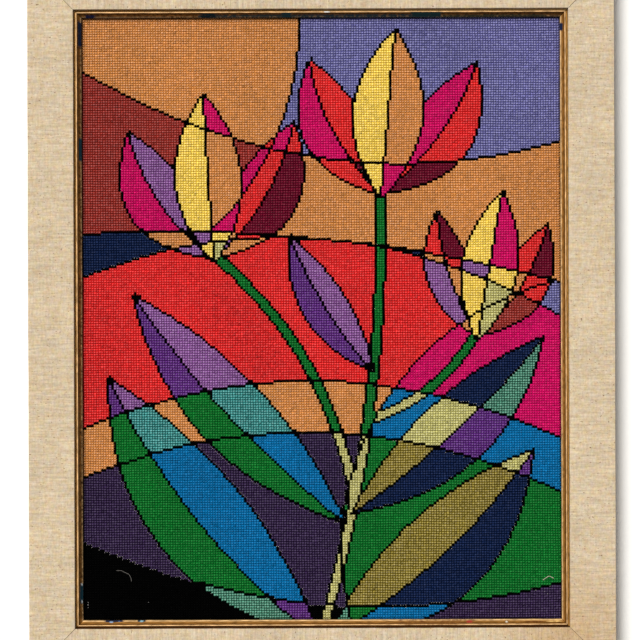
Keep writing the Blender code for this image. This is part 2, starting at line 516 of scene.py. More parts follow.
def stitches(yarn, x, y, laying):
    """Every stitch, one piece for each yarn: a slanted stroke from its lower left hole to its upper right.

    "laying" holds the tree that lays them and the grain of yarn that it lays.
    """
    run_x = x[1:, 1:] - x[:-1, :-1]
    run_y = y[1:, 1:] - y[:-1, :-1]
    middle_x = x[:-1, :-1] + run_x / 2
    middle_y = y[:-1, :-1] + run_y / 2
    random = np.random.default_rng(STITCH_SEED + 1)
    skein = waves(middle_x, middle_y, SKEIN_SEED)
    tone = 1 + random.normal(0, TONE_STITCH, yarn.shape) + TONE_SKEIN * skein
    tone += random.normal(0, TONE_LINE, (ROWS, 1)) + random.normal(0, TONE_LINE, (1, COLUMNS))
    # Painted shade: the stitches darken towards the sight edge, under the fillet's lip.
    inward = np.minimum(SIGHT_X - abs(middle_x), SIGHT_Y - abs(middle_y))
    tone *= 1 - SIGHT_EDGE_SHADE * np.exp(-np.maximum(inward, 0) / SIGHT_EDGE_SHADE_WIDTH)
    # The attribute "fuzz" holds how strong the painted sheen is on each stitch's crown.
    fuzz = np.clip(random.normal(1, SHEEN_SPREAD, yarn.shape), 0, None) * np.minimum(tone, 1)
    lean = np.radians(random.normal(0, LEAN_SPREAD, yarn.shape))
    made = []
    for number, name in enumerate(YARNS):
        here = yarn == number
        height = np.full(here.sum(), GROUND_TOP)
        points = point_mesh(
            f"stitches_{name}",
            np.stack([middle_x[here], middle_y[here], height], 1),
            reach=np.hypot(run_x, run_y)[here],
            turn=(np.arctan2(run_y, run_x) + lean)[here],
            tone=tone[here],
            fuzz=fuzz[here],
        )
        sizes = {"Width": YARN_WIDTH, "Height": CROWN, "Unevenness": UNEVEN, "Seed": number}
        made.append(grow(points, **laying, Yarn=tapestry_wool(name), **sizes))
    return made


# Canvas with no wool on it.
BARE_CANVAS = "D9CDB0"


def sheet_faces(columns, rows):
    """The faces of a closed flat sheet on a grid: its back, its front and its rim.

    The back's points come first, row by row, and the front's follow in the same order.
    """
    count = columns * rows
    corner = (np.arange(rows - 1)[:, None] * columns + np.arange(columns - 1)).ravel()
    back = np.stack([corner, corner + columns, corner + columns + 1, corner + 1], 1)
    rim = np.concatenate(
        [
            np.arange(columns),
            np.arange(2, rows) * columns - 1,
            np.arange(count - 1, count - columns - 1, -1),
            np.arange(rows - 2, 0, -1) * columns,
        ]
    )
    onward = np.roll(rim, -1)
    return back, back[:, ::-1] + count, np.stack([rim, onward, onward + count, rim + count], 1)


def canvas_ground(yarn, x, y):
    """The canvas under the stitches: a closed sheet with a point at every hole, coloured like the yarn."""
    ring_x = np.pad(x, 1, mode="edge")
    ring_y = np.pad(y, 1, mode="edge")
    ring_x[:, 0], ring_x[:, -1] = CANVAS_LOW.x, CANVAS_HIGH.x
    ring_y[0], ring_y[-1] = CANVAS_LOW.y, CANVAS_HIGH.y
    points = np.concatenate(
        [
            np.stack([ring_x.ravel(), ring_y.ravel(), np.full(ring_x.size, z)], 1)
            for z in (CANVAS_LOW.z, GROUND_TOP)
        ]
    )
    back, front, side = sheet_faces(COLUMNS + 3, ROWS + 3)
    faces = np.concatenate([back, front, side])
    mesh = bpy.data.meshes.new("canvas_ground")
    mesh.from_pydata(points.tolist(), [], faces.tolist())
    bare = srgb(BARE_CANVAS)
    dyes = np.array([srgb(code) for code, crown_sheen_share, gap_shade in YARNS.values()] + [bare])
    gap_shades = np.array([gap_shade for code, crown_sheen_share, gap_shade in YARNS.values()] + [1.0])
    worked = np.pad(yarn, 1, constant_values=len(YARNS)).ravel()
    # The front, seen only in the gaps between the stitches, is darkened as painted shade.
    shaded_gaps = dyes[worked] * gap_shades[worked, None]
    colours = np.concatenate([dyes[worked], shaded_gaps, np.tile(bare, (len(side), 1))])
    mesh.attributes.new("yarn", "FLOAT_COLOR", "FACE").data.foreach_set("color", colours.ravel())

    # The map has the back in its left half and the front in its right half.
    place = points[faces.ravel()]
    share_x = (place[:, 0] - CANVAS_LOW.x) / CANVAS_SIZE.x
    share_y = (place[:, 1] - CANVAS_LOW.y) / CANVAS_SIZE.y
    half = np.repeat(np.arange(len(faces)) >= len(back), 4)
    mapped = np.stack([(share_x + half) / 2, share_y], 1)
    mesh.uv_layers.new(name="OFBake").data.foreach_set("uv", mapped.ravel())
    mesh.materials.append(worked_canvas())
    piece = link(bpy.data.objects.new("canvas_ground", mesh))
    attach(piece, "root")
    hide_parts("needlepoint_canvas")
    return piece


# ---- Materials of the worked canvas ----

# Coordinates of the texture nodes are in metres. A wave texture repeats every pi/10 of its own units.
WAVE_UNIT = math.pi / 10

# How much of the way to its painted shade in the gaps a stitch goes at its foot.
FOOT_SHADE_SHARE = 0.35

# A strand of the yarn and its slant in degrees, and the fuzz of its fibres, which is drawn coarser than the
# real fibres of 0.03 mm.
STRAND_PITCH = 0.6 * MM
STRAND_SLANT = 60
FUZZ = 0.35 * MM

# On the back, a stroke runs this many columns across for one row up.
STROKE_RUN = 2.0

# Parts of a noise pattern's range: all of it, the middle, where nearly all of it lies, and its rare peaks.
ALL_OF_NOISE = {"From Min": 0.0, "From Max": 1.0}
MIDDLE_OF_NOISE = {"From Min": 0.3, "From Max": 0.7}
PEAKS_OF_NOISE = {"From Min": 0.69, "From Max": 0.76}


def new_material(name, constants):
    """A material with one Principled shader and its constants; returns it, its tree and its shader."""
    made = bpy.data.materials.new(name)
    made.use_nodes = True
    shader = made.node_tree.nodes["Principled BSDF"]
    feed(made.node_tree, shader, constants)
    return made, made.node_tree, shader


def uneven(tree, place, sizes, detail, low, high, part=MIDDLE_OF_NOISE):
    """Noise whose grains have these sizes in millimetres, and a value from low to high over part of it."""
    scale = [1 / (size * MM) for size in sizes]
    scaled = node(tree, "ShaderNodeMapping", {"Vector": place, "Scale": scale})
    pattern = node(tree, "ShaderNodeTexNoise", {"Vector": scaled, "Scale": 1.0, "Detail": detail})
    spread = {"Value": pattern, **part, "To Min": low, "To Max": high}
    return pattern, node(tree, "ShaderNodeMapRange", spread)


def wool_fuzz(tree, place, distance):
    """A soft bump as the fuzz of wool makes it."""
    fuzz = node(tree, "ShaderNodeTexNoise", {"Vector": place, "Scale": 1 / FUZZ, "Detail": 3.0})
    return node(tree, "ShaderNodeBump", {"Height": fuzz, "Strength": 0.5, "Distance": distance})


def tapestry_wool(name):
    """Dyed tapestry wool: matt and fuzzy, with soft strands and a dye that is not quite even."""
    code, crown_sheen_share, gap_shade = YARNS[name]
    matt = {"Roughness": 0.9, "Specular IOR Level": 0.0}
    made, tree, shader = new_material(f"tapestry_wool_{name}", matt)
    tone, crown, sheen_strength = (
        node(tree, "ShaderNodeAttribute", attribute_name=label).outputs["Fac"]
        for label in ("tone", "crown", "fuzz")
    )
    # Painted shade: each stitch darkens from its crown towards its foot.
    foot = 1 + FOOT_SHADE_SHARE * (gap_shade - 1)
    shade_to_foot = node(tree, "ShaderNodeMapRange", {"Value": crown, "To Min": foot, "To Max": 1.0})
    value = node(tree, "ShaderNodeMath", {0: tone, 1: shade_to_foot}, operation="MULTIPLY")
    dyed = node(tree, "ShaderNodeHueSaturation", {"Color": srgb(code), "Value": value})

    # Painted sheen: the colour is mixed toward white on the crown of each stitch, where fuzz catches light.
    painted_sheen = node(tree, "ShaderNodeMath", {0: crown, 1: 2.0}, operation="POWER")
    for share in (sheen_strength, crown_sheen_share):
        painted_sheen = node(tree, "ShaderNodeMath", {0: painted_sheen, 1: share}, operation="MULTIPLY")
    sheened = node(tree, "ShaderNodeMix", {"Factor": painted_sheen, 6: dyed, 7: srgb("FFFFFF")}, data_type="RGBA")

    place = node(tree, "ShaderNodeTexCoord").outputs["Object"]
    turned = {"Vector": place, "Rotation": (0, 0, math.radians(STRAND_SLANT))}
    slant = node(tree, "ShaderNodeMapping", turned)
    strands = {"Vector": slant, "Scale": WAVE_UNIT / STRAND_PITCH, "Distortion": 2.0, "Detail": 1.0}
    spun = {
        "Height": node(tree, "ShaderNodeTexWave", strands).outputs["Fac"],
        "Normal": wool_fuzz(tree, place, 0.15 * MM),
        "Strength": 0.4,
        "Distance": 0.15 * MM,
    }
    feed(tree, shader, {"Base Color": sheened.outputs[2], "Normal": node(tree, "ShaderNodeBump", spun)})
    return made


def worked_canvas():
    """Cotton canvas with the back of the wool on it: long slanted strokes in each stitch's colour.

    The back is darkened between its strokes as painted shade. On the front only the gaps between the
    stitches show, and their colours carry painted shade already.
    """
    matt = {"Roughness": 0.95, "Specular IOR Level": 0.05}
    made, tree, shader = new_material("worked_cotton_canvas", matt)
    place = node(tree, "ShaderNodeTexCoord").outputs["Object"]
    apart = node(tree, "ShaderNodeSeparateXYZ", {0: place}).outputs

    # The strokes on the back, which dip at the holes of each row.
    row = node(tree, "ShaderNodeMath", {0: apart["Y"], 1: 1 / PITCH_UP}, operation="MULTIPLY")
    up = node(tree, "ShaderNodeMath", {0: row}, operation="FRACT")
    column = node(tree, "ShaderNodeMath", {0: apart["X"], 1: 1 / PITCH_ACROSS}, operation="MULTIPLY")
    leaning = node(tree, "ShaderNodeMath", {0: up, 1: -STROKE_RUN, 2: column}, operation="MULTIPLY_ADD")
    ridges = []
    for turn in (leaning, up):
        angle = node(tree, "ShaderNodeMath", {0: turn, 1: math.pi}, operation="MULTIPLY")
        swell = node(tree, "ShaderNodeMath", {0: angle}, operation="SINE")
        ridges.append(node(tree, "ShaderNodeMath", {0: swell}, operation="ABSOLUTE"))
    stroke = node(tree, "ShaderNodeMath", {0: ridges[0], 1: ridges[1]}, operation="MULTIPLY")
    raised = node(tree, "ShaderNodeMath", {0: stroke, 1: 0.5}, operation="POWER")
    soft = wool_fuzz(tree, place, 0.2 * MM)
    relief = {"Height": raised, "Normal": soft, "Strength": 1.0, "Distance": 0.6 * MM}

    middle = (CANVAS_LOW.z + GROUND_TOP) / 2
    in_front = node(tree, "ShaderNodeMath", {0: apart["Z"], 1: middle}, operation="GREATER_THAN")
    shade = node(tree, "ShaderNodeMapRange", {"Value": raised, "To Min": 0.35, "To Max": 1.0})
    value = node(tree, "ShaderNodeMath", {0: in_front, 1: shade}, operation="MAXIMUM")
    yarn = node(tree, "ShaderNodeAttribute", attribute_name="yarn").outputs["Color"]
    dyed = node(tree, "ShaderNodeHueSaturation", {"Color": yarn, "Value": value})
    feed(tree, shader, {"Base Color": dyed, "Normal": node(tree, "ShaderNodeBump", relief)})
    return made


# ---- The fillet and the linen ----

# Points closer than this are one, and faces that meet at less than this angle in degrees are one flat face.
WELD = 0.001 * MM
FLAT_ANGLE = 1

# A face wider than this is parted into strips.
WIDE_FACE = 1.0 * MM

# Each rail's pattern starts this far along from the one before, so that no two are alike.
RAIL_STEP = 2.0

# How a finer copy is made: how far it is out of true, and over what distance; the spacing of its points
# along the rail; the angle in degrees past which an edge is sharp; and the strips of each wide face.
FINER_FILLET = {
    "wobble": 0.16 * MM,
    "wobble_span": 13 * MM,
    "station": 1.4 * MM,
    "sharp_angle": 25,
    "strips": 5,
}
FINER_LINEN = {
    "wobble": 0.22 * MM,
    "wobble_span": 14 * MM,
    "station": 2.5 * MM,
    "sharp_angle": 35,
    "strips": 10,
}

# Only the fillet's faces this far above its back, and the linen's this near its top, are parted into strips.
PARTED_ABOVE_BACK = 1.9 * MM
PARTED_BELOW_TOP = 0.1 * MM


def pattern_start(side):
    """How far along its pattern a rail starts."""
    return RAIL_STEP * list(SIDES).index(side)


def rail_directions(side):
    """The direction along a rail and the direction outwards from the sight edge."""
    turn = math.radians(SIDES[side])
    return Vector((math.cos(turn), math.sin(turn), 0)), Vector((-math.sin(turn), math.cos(turn), 0))


def is_lengthwise(edge, out):
    """Whether an edge runs along its rail."""
    run = edge.verts[1].co - edge.verts[0].co
    return abs(run.dot(out)) < WELD and abs(run.z) < WELD


def finer_rail(name, node_name, side, finish, cut_above, wobble, wobble_span, station, sharp_angle, strips):
    """A copy of a mitred length with a ring of points at every station, its surface not quite true.

    Each wide face above the height cut_above is parted into strips. Each point keeps its place on the rail
    as "rail": along it, outwards from the sight edge, and up.
    """
    work = bmesh.new()
    work.from_mesh(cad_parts[node_name].data)
    bmesh.ops.remove_doubles(work, verts=work.verts, dist=WELD)
    bmesh.ops.dissolve_limit(work, angle_limit=math.radians(FLAT_ANGLE), verts=work.verts, edges=work.edges)
    along, out = rail_directions(side)
    across = [
        edge
        for edge in work.edges
        if min(vertex.co.z for vertex in edge.verts) > cut_above
        and edge.calc_length() > WIDE_FACE
        and not is_lengthwise(edge, out)
    ]
    bmesh.ops.subdivide_edges(work, edges=across, cuts=strips - 1)
    lengthwise = [edge for edge in work.edges if is_lengthwise(edge, out)]
    longest = max(edge.calc_length() for edge in lengthwise)
    bmesh.ops.subdivide_edges(work, edges=lengthwise, cuts=round(longest / station))
    reach = SIGHT_Y if side in ("top", "bottom") else SIGHT_X
    work.normal_update()
    places = []
    offset = pattern_start(side)
    for vertex in work.verts:
        places.append((vertex.co.dot(along) + offset, vertex.co.dot(out) - reach, vertex.co.z))
        spot = vertex.co / wobble_span + Vector((offset, 0.0, 0.0))
        vertex.co += vertex.normal * wobble * noise.noise(spot)
    mesh = bpy.data.meshes.new(name)
    work.to_mesh(mesh)
    work.free()
    mesh.attributes.new("rail", "FLOAT_VECTOR", "POINT").data.foreach_set("vector", np.ravel(places))
    mesh.shade_smooth()
    mesh.set_sharp_from_angle(angle=math.radians(sharp_angle))
    mesh.materials.append(finish)
    piece = link(bpy.data.objects.new(name, mesh))
    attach(piece, "root")
    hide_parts(node_name)
    return piece


# Stretches where the gilding is worn through, stained or chipped, and where shade or a highlight is
# painted on it. Columns: side; from and to along the rail; from and to outwards from the sight edge, in
# millimetres; how strong; colour of what shows there. Along the top and bottom rails the distance grows to
# the picture's right, and along the others to its top.
WEAR_AND_PAINTED_LIGHT = (
    # Painted shade: these four rows darken the lip and slope along the whole top, left and right rails.
    ("top", -240, 240, -1.0, 1.2, 0.7, "48341C"),
    ("top", -240, 240, 1.2, 3.1, 0.65, "341C02"),
    ("left", -250, 250, -1.0, 3.1, 0.6, "3A240E"),
    ("right", -250, 250, -1.0, 3.1, 0.3, "3A240E"),
    # Painted light: the groove along the top rail is lightened where the linen's edge shades it.
    ("top", -10, 240, 4.4, 6.5, 0.8, "C8A468"),
    # Painted shade: the groove along the bottom rail is darkened.
    ("bottom", -240, 240, 4.5, 7.0, 0.9, "482400"),
    ("bottom", 66, 116, 3.2, 4.6, 0.5, "8A5A30"),
    ("top", -198, -122, -0.5, 1.0, 0.8, "7A6448"),
    ("top", -104, 99, -1.0, 2.3, 0.78, "2A3638"),
    ("top", -102, -85, -1.0, 3.2, 0.85, "06202A"),
    ("top", -68, -30, 0.2, 1.2, 0.8, "4A4238"),
    ("top", -12, 6, 0.4, 1.3, 0.8, "4A4A44"),
    ("top", -33, -24, -1.0, 3.4, 1.0, "14323A"),
    ("top", 74, 102, 0.0, 3.6, 0.95, "1A3434"),
    ("top", 99, 190, -1.0, 1.6, 0.8, "3A3824"),
    ("top", -197, -187, -1.0, 2.2, 0.9, "121C40"),
    # Painted highlight: a white glint on the bead.
    ("top", 3, 8, 3.3, 4.4, 0.9, "F0EEE6"),
    ("left", 226, 249, -1.0, 2.6, 0.95, "122038"),
    ("left", 131, 152, -1.0, 2.2, 0.95, "14343F"),
    ("left", -238, -219, -1.0, 2.4, 0.95, "15333E"),
    ("left", -223, -220, 0.3, 1.6, 1.0, "D8DEE0"),
    ("left", -236.5, -233.5, 0.3, 1.6, 1.0, "D8DEE0"),
    ("right", 239, 246, -1.0, 2.0, 0.95, "1A2440"),
    ("bottom", -182, -166, -1.0, 1.2, 0.95, "101E38"),
    ("bottom", -178, -174.5, 0.4, 1.7, 0.95, "98B0D0"),
    ("bottom", -171, -169.5, 0.0, 0.9, 1.0, "6A88B8"),
    ("bottom", -154.5, -147.5, -1.0, 1.1, 0.9, "16303C"),
    ("bottom", -152, -149.5, -0.2, 1.3, 1.0, "8CB0BC"),
    ("bottom", 60, 130, -1.0, 3.2, 0.45, "6A3C1C"),
    ("bottom", 119.5, 125, 0.8, 2.6, 0.85, "A03A2C"),
    ("bottom", 152.3, 154.3, 1.1, 2.5, 0.85, "E4D8C4"),
    ("bottom", 164, 200, 0.2, 1.0, 0.6, "E8C078"),
    ("bottom", 186, 200, 1.0, 2.2, 0.7, "E8C078"),
    ("bottom", 168, 186, 1.2, 2.4, 0.7, "5A2E10"),
)

# Over what distance wear and the painted shade and highlights fade out, along the rail and across it,
# and the least that shows.
WEAR_AND_LIGHT_FADE_ALONG = 6.0 * MM
WEAR_AND_LIGHT_FADE_OUT = 0.6 * MM
WEAR_AND_LIGHT_LEAST = 0.01


def colours_of_wear_and_light(mesh, side):
    """The colour of the wear and painted light at each point of a fillet, with its strength there as alpha.
    """
    places = np.empty(3 * len(mesh.vertices))
    mesh.attributes["rail"].data.foreach_get("vector", places)
    along, out = places.reshape(-1, 3).T[:2]
    along = along - pattern_start(side)
    if side in ("bottom", "right"):
        along = -along
    colours = np.zeros((len(along), 4))
    for place, start, end, near, far, strength, code in WEAR_AND_PAINTED_LIGHT:
        if place != side:
            continue
        # A stretch fades over its edges, and a short one over a third of its length.
        fade = min(WEAR_AND_LIGHT_FADE_ALONG, (end - start) * MM / 3)
        inside = np.minimum(along - start * MM, end * MM - along) / fade
        across = np.minimum(out - near * MM, far * MM - out) / WEAR_AND_LIGHT_FADE_OUT
        worn = strength * np.clip(inside + 0.5, 0, 1) * np.clip(across + 0.5, 0, 1)
        stronger = worn >= np.maximum(colours[:, 3], WEAR_AND_LIGHT_LEAST)
        colours[stronger, :3] = srgb(code)[:3]
        colours[stronger, 3] = worn[stronger]
    mesh.attributes.new("worn", "FLOAT_COLOR", "POINT").data.foreach_set("color", colours.ravel())


# The fillet's tones, outwards from the sight edge: distance in millimetres and colour.
GILT_TONES = (
    (0.0, "B89462"),
    (0.6, "D0AC7C"),
    (1.0, "A4763E"),
    (1.9, "8A5C26"),
    (2.4, "6C4618"),
    (3.1, "6E4614"),
    (3.3, "A27846"),
    (3.6, "D6AE7C"),
    (4.1, "D0A674"),
    (4.5, "A87C3C"),
    (5.9, "A07434"),
)

# Streaks where the gilding is rubbed: their sizes in millimetres along the moulding, outwards and up.
RUBBED = (5.5, 0.9, 0.9)

# The ragged edge of the worn gilding, and how far past the visible face and above the back it is bare wood.
RAGGED = 2.4 * MM
BARE_PAST_FACE = 0.1 * MM
BARE_ABOVE_BACK = 0.3 * MM


def antiqued_gilding():
    """Bronze-gold leaf on a dark ground, rubbed, stained and glazed brown, with painted shade and
    highlights.
    """
    made, tree, shader = new_material("antiqued_gilding", {"Metallic": 0.3, "Specular IOR Level": 0.1})
    rail = node(tree, "ShaderNodeAttribute", attribute_name="rail").outputs["Vector"]
    apart = node(tree, "ShaderNodeSeparateXYZ", {0: rail}).outputs
    share = node(tree, "ShaderNodeMath", {0: apart["Y"], 1: 1 / FILLET_FACE}, operation="MULTIPLY")
    ramp = node(tree, "ShaderNodeValToRGB", {"Fac": share})
    tones = ramp.color_ramp.elements
    while len(tones) < len(GILT_TONES):
        tones.new(1.0)
    for tone, (out, code) in zip(tones, GILT_TONES):
        tone.position = out * MM / FILLET_FACE
        tone.color = srgb(code)

    # Rubbing: streaks that run along the moulding.
    streaks, rubbed = uneven(tree, rail, RUBBED, detail=5.0, low=0.55, high=1.5)
    toned = node(tree, "ShaderNodeHueSaturation", {"Color": ramp, "Value": rubbed})
    rough = {"Value": streaks, **MIDDLE_OF_NOISE, "To Min": 0.34, "To Max": 0.56}
    relief = {"Height": streaks, "Strength": 0.35, "Distance": 0.08 * MM}

    # Worn stretches, and the painted shade and highlights of the same table, have ragged edges.
    worn = node(tree, "ShaderNodeAttribute", attribute_name="worn").outputs
    ragged = node(tree, "ShaderNodeTexNoise", {"Vector": rail, "Scale": 1 / RAGGED, "Detail": 4.0})
    bare = node(tree, "ShaderNodeMath", {0: worn["Alpha"], 1: ragged}, operation="ADD")
    mask = node(tree, "ShaderNodeMapRange", {"Value": bare, "From Min": 0.8, "From Max": 1.3})
    mixed = node(tree, "ShaderNodeMix", {"Factor": mask, 6: toned, 7: worn["Color"]}, data_type="RGBA")

    # The tongue and the back are bare wood.
    tongue = {0: apart["Y"], 1: FILLET_FACE + BARE_PAST_FACE}
    back = {0: apart["Z"], 1: FILLET_BACK + BARE_ABOVE_BACK}
    hidden = {
        0: node(tree, "ShaderNodeMath", tongue, operation="GREATER_THAN"),
        1: node(tree, "ShaderNodeMath", back, operation="LESS_THAN"),
    }
    wood = node(tree, "ShaderNodeMath", hidden, operation="MAXIMUM")
    final = {"Factor": wood, 6: mixed.outputs[2], 7: srgb("B8935F")}
    finish = {
        "Base Color": node(tree, "ShaderNodeMix", final, data_type="RGBA").outputs[2],
        "Roughness": node(tree, "ShaderNodeMapRange", rough),
        "Normal": node(tree, "ShaderNodeBump", relief),
    }
    feed(tree, shader, finish)
    return made


def fillets():
    """The four lengths of gilt fillet, with a little of a hand-made moulding's unevenness."""
    finish = antiqued_gilding()
    for side in SIDES:
        cut_above = FILLET_BACK + PARTED_ABOVE_BACK
        piece = finer_rail(f"gilt_fillet_{side}", f"fillet_{side}", side, finish, cut_above, **FINER_FILLET)
        colours_of_wear_and_light(piece.data, side)


# Linen thread, drawn at 0.9 mm where the real one is about 0.5 mm, so that the weave shows at all.
LINEN_THREAD = 0.9 * MM

# Unevenness of the linen: sizes in millimetres along its rail, outwards and up; detail; and how far it
# changes the lightness. First come slubs, thicker threads across the rail, each one or two centimetres
# long, then the threads along it, small blotches and wide ones.
LINEN_LAYERS = (
    ((1.2, 12.5, 12.5), 4.0, 0.15),
    ((11.0, 1.4, 1.4), 3.0, 0.07),
    ((1.8, 1.8, 1.8), 3.0, 0.1),
    ((33.0, 33.0, 33.0), 2.0, 0.04),
)

# Sizes of the linen's blotches of hue and of depth of colour, and of its bits of straw, in the same way.
LINEN_HUES = (3.8, 3.8, 3.8)
LINEN_DEPTHS = (4.3, 4.3, 4.3)
STRAW = (1.0, 2.2, 2.2)

# The stain on the linen: its middle and how far it reaches.
STAIN_PLACE = (205 * MM, -268 * MM, 18 * MM)
STAIN_REACH = 70 * MM

# Painted shade on the linen's inner edge: how far under its top it is full and ends, how far out it reaches.
CORNER_SHADE_FULL = 1.0 * MM
CORNER_SHADE_END = 0.2 * MM
CORNER_SHADE_REACH = 0.8 * MM


def linen_marks(tree, rail, cloth):
    """The colour of the cloth with a stain and specks on it, and painted shade on the bottom rail's edge."""
    # A faint warm stain at the lower right.
    place = {0: node(tree, "ShaderNodeTexCoord").outputs["Object"], 1: STAIN_PLACE}
    away = node(tree, "ShaderNodeVectorMath", place, operation="DISTANCE").outputs["Value"]
    near = {"Value": away, "From Max": STAIN_REACH, "To Min": 1.0, "To Max": 0.0}
    stain = node(tree, "ShaderNodeMapRange", near)

    # Specks: bits of brown straw that were spun in, and small stains.
    speck = uneven(tree, rail, STRAW, detail=1.0, low=0.0, high=0.9, part=PEAKS_OF_NOISE)[1]

    # Along the bottom rail, which the place in the pattern tells, the edge of the cloth beside the fillet
    # is darkened brown as painted shade.
    apart = node(tree, "ShaderNodeSeparateXYZ", {0: rail}).outputs
    bottom = {0: apart["X"], 1: pattern_start("bottom"), 2: RAIL_STEP / 2}
    corner_shade = node(tree, "ShaderNodeMath", bottom, operation="COMPARE")
    inner = {0: apart["Y"], 1: FILLET_FACE + CORNER_SHADE_REACH}
    heights = {"From Min": CAD_HIGH.z - CORNER_SHADE_FULL, "From Max": CAD_HIGH.z - CORNER_SHADE_END}
    below = {"Value": apart["Z"], **heights, "To Min": 0.9, "To Max": 0.0}
    for part in (
        node(tree, "ShaderNodeMapRange", below),
        node(tree, "ShaderNodeMath", inner, operation="LESS_THAN"),
    ):
        corner_shade = node(tree, "ShaderNodeMath", {0: corner_shade, 1: part}, operation="MULTIPLY")

    for share, code, blend in (
        (stain, "F2E2CE", "MULTIPLY"),
        (speck, "7A5A42", "MIX"),
        (corner_shade, "4A2A0C", "MIX"),
    ):
        marked = {"Factor": share, 6: cloth, 7: srgb(code)}
        cloth = node(tree, "ShaderNodeMix", marked, data_type="RGBA", blend_type=blend).outputs[2]
    return cloth


def natural_linen():
    """Undyed linen: matt, warm and pale, with thick and thin threads that run straight across each rail."""
    made, tree, shader = new_material("natural_linen", {"Roughness": 0.92, "Specular IOR Level": 0.15})
    rail = node(tree, "ShaderNodeAttribute", attribute_name="rail").outputs["Vector"]
    thread = {"Vector": rail, "Scale": WAVE_UNIT / LINEN_THREAD, "Distortion": 1.5, "Detail Scale": 2.0}
    crossed = {
        number: node(tree, "ShaderNodeTexWave", thread, bands_direction=axis).outputs["Fac"]
        for number, axis in enumerate("XY")
    }
    weave = node(tree, "ShaderNodeMath", crossed, operation="MAXIMUM")
    value = node(tree, "ShaderNodeMapRange", {"Value": weave, "To Min": 0.8, "To Max": 1.04})
    patterns = []
    for sizes, detail, change in LINEN_LAYERS:
        pattern, lightness = uneven(tree, rail, sizes, detail, low=1 - change, high=1 + change)
        value = node(tree, "ShaderNodeMath", {0: value, 1: lightness}, operation="MULTIPLY")
        patterns.append(pattern)
    toned = {
        "Color": srgb("C7B497"),
        "Hue": uneven(tree, rail, LINEN_HUES, detail=2.0, low=0.485, high=0.515)[1],
        "Saturation": uneven(tree, rail, LINEN_DEPTHS, detail=3.0, low=0.8, high=1.2)[1],
        "Value": value,
    }
    cloth = linen_marks(tree, rail, node(tree, "ShaderNodeHueSaturation", toned))
    fine = node(tree, "ShaderNodeBump", {"Height": weave, "Strength": 0.7, "Distance": 0.15 * MM})
    coarse = {"Height": patterns[0], "Normal": fine, "Strength": 0.6, "Distance": 0.3 * MM}
    feed(tree, shader, {"Base Color": cloth, "Normal": node(tree, "ShaderNodeBump", coarse)})
    return made


def linens():
    """The four strips of linen, each glued over its rail."""
    cloth = natural_linen()
    for side in SIDES:
        low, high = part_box(f"linen_{side}")
        cut_above = high.z - PARTED_BELOW_TOP
        piece = finer_rail(f"linen_cover_{side}", f"linen_{side}", side, cloth, cut_above, **FINER_LINEN)


# ---- The wooden rails ----

# Sizes of the pine's figure and of its fibres, in millimetres along the rail and across it, and the spacing
# of its rings in millimetres.
PINE_FIGURE = (250.0, 17.0, 17.0)
PINE_FIBRES = (17.0, 0.7, 0.7)
PINE_RINGS = 3.338


def bare_pine(name, turn):
    """Planed pine left bare: pale, with straight darker late wood along the rail."""
    made, tree, shader = new_material(name, {"Specular IOR Level": 0.3})
    place = node(tree, "ShaderNodeTexCoord").outputs["Object"]
    turned = {"Vector": place, "Rotation": (0, 0, math.radians(turn))}
    rail = node(tree, "ShaderNodeMapping", turned, vector_type="TEXTURE")
    aged = uneven(tree, rail, PINE_FIGURE, detail=3.0, low=0.9, high=1.06)[1]
    fibres, fibrous = uneven(tree, rail, PINE_FIBRES, detail=3.0, low=0.9, high=1.08)
    value = node(tree, "ShaderNodeMath", {0: fibrous, 1: aged}, operation="MULTIPLY")

    # The rings waver as the figure does, so they are drawn in its stretched coordinates.
    scale = [1 / (size * MM) for size in PINE_FIGURE]
    figure = node(tree, "ShaderNodeMapping", {"Vector": rail, "Scale": scale})
    spacing = PINE_RINGS / PINE_FIGURE[1]
    rings = {"Vector": figure, "Scale": WAVE_UNIT / spacing, "Distortion": 6.0, "Detail": 2.0}
    share = node(tree, "ShaderNodeTexWave", rings, bands_direction="Y").outputs["Fac"]
    ramp = node(tree, "ShaderNodeValToRGB", {"Fac": share})
    for stop, code in zip(ramp.color_ramp.elements, ("D8B483", "B98650")):
        stop.color = srgb(code)
    finish = {
        "Base Color": node(tree, "ShaderNodeHueSaturation", {"Color": ramp, "Value": value}),
        "Roughness": node(tree, "ShaderNodeMapRange", {"Value": fibres, "To Min": 0.5, "To Max": 0.75}),
        "Normal": node(tree, "ShaderNodeBump", {"Height": fibres, "Strength": 0.3, "Distance": 0.1 * MM}),
    }
    feed(tree, shader, finish)
    return made


def rails():
    """The rails keep their solids, with the grain of the wood along each."""
    level = bare_pine("bare_pine_level", 0)
    upright = bare_pine("bare_pine_upright", 90)
    for side in SIDES:
        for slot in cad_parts[f"rail_{side}"].material_slots:
            slot.material = level if side in ("top", "bottom") else upright


# ---- Lint, hair and canvas that peeps through ----

# Bare canvas shows where two dark yarns meet, and at a few of the holes beside an outline: the share of
# holes; a glimpse's length, width and height; and the least and greatest share of that length.
PEEPS_BETWEEN_DARKS = 0.7
PEEPS_AT_OUTLINES = 0.04
PEEP_LENGTH = 0.7 * MM
PEEP_WIDTH = 0.55 * MM
PEEP_HEIGHT = 0.4 * MM
PEEP_SHARES = (0.6, 1.2)

# How uneven the glimpses and the flecks of lint are in width and height.
BITS_UNEVEN = 0.3

# A grey hair and a pale end of thread that lie on the wool: radius, colour and the places it passes, in
# millimetres from the middle of the panel.
STRANDS = (
    (0.15, "77736E", ((-172, -210), (-168, -210), (-166, -211), (-162, -213), (-160, -216), (-159.5, -219))),
    (0.26, "B9B29E", ((184, -219), (186.5, -217.3), (189, -215.8), (191.2, -216.6), (193, -217.5))),
)

